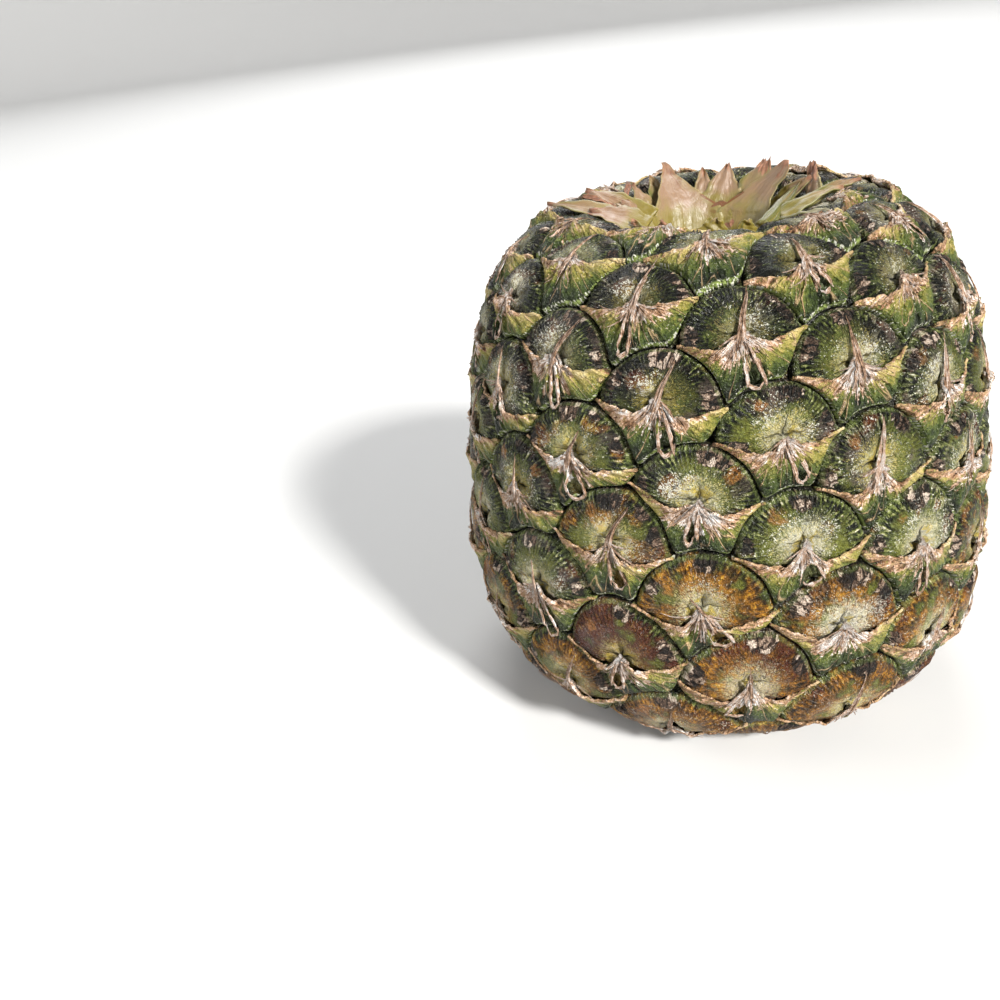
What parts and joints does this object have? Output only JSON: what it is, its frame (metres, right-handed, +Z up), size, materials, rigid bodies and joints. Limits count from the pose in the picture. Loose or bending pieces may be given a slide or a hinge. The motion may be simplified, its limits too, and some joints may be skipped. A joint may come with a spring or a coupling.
{
  "type": "pineapple",
  "caption": "Whole ripe pineapple without its crown: a squat barrel of spiralling eyes, standing on its base, with the torn leaf bases left in a cup at the top.",
  "frame": {"origin": "centre of the fruit's base, in the plane that it stands on", "axes": "+Z up along the fruit's axis, from the stalk to the crown's scar; -Y is the side that faces the viewer"},
  "size_m": [0.1295, 0.1297, 0.1249],
  "materials": {
    "rind": "green waxy rind with pale bloom, golden low down, semi-gloss",
    "bract": "green bracts with dry tan tips and edges, satin to matt",
    "pulp": "moist pale yellow torn tissue",
    "leaf_base": "cream to pink leaf base, green towards its dry tip, satin",
    "stalk": "dry fibrous cut stalk, matt"
  },
  "bodies": {
    "root": {"fruit": "rind", "crown_stub": "pulp", "crown_leaf_01": "leaf_base", "crown_leaf_02": "leaf_base", "crown_leaf_03": "leaf_base", "crown_leaf_04": "leaf_base", "crown_leaf_05": "leaf_base", "crown_leaf_06": "leaf_base", "crown_leaf_07": "leaf_base", "crown_leaf_08": "leaf_base", "crown_leaf_09": "leaf_base", "crown_leaf_10": "leaf_base", "crown_leaf_11": "leaf_base", "crown_leaf_12": "leaf_base", "crown_leaf_13": "leaf_base", "crown_leaf_14": "leaf_base", "crown_leaf_15": "leaf_base", "crown_leaf_16": "leaf_base", "crown_leaf_17": "leaf_base", "crown_leaf_18": "leaf_base", "crown_leaf_19": "leaf_base", "crown_leaf_20": "leaf_base", "crown_leaf_21": "leaf_base", "crown_leaf_22": "leaf_base", "crown_leaf_23": "leaf_base", "crown_leaf_24": "leaf_base", "fruit_stem": "stalk"}
  },
  "joints": []
}
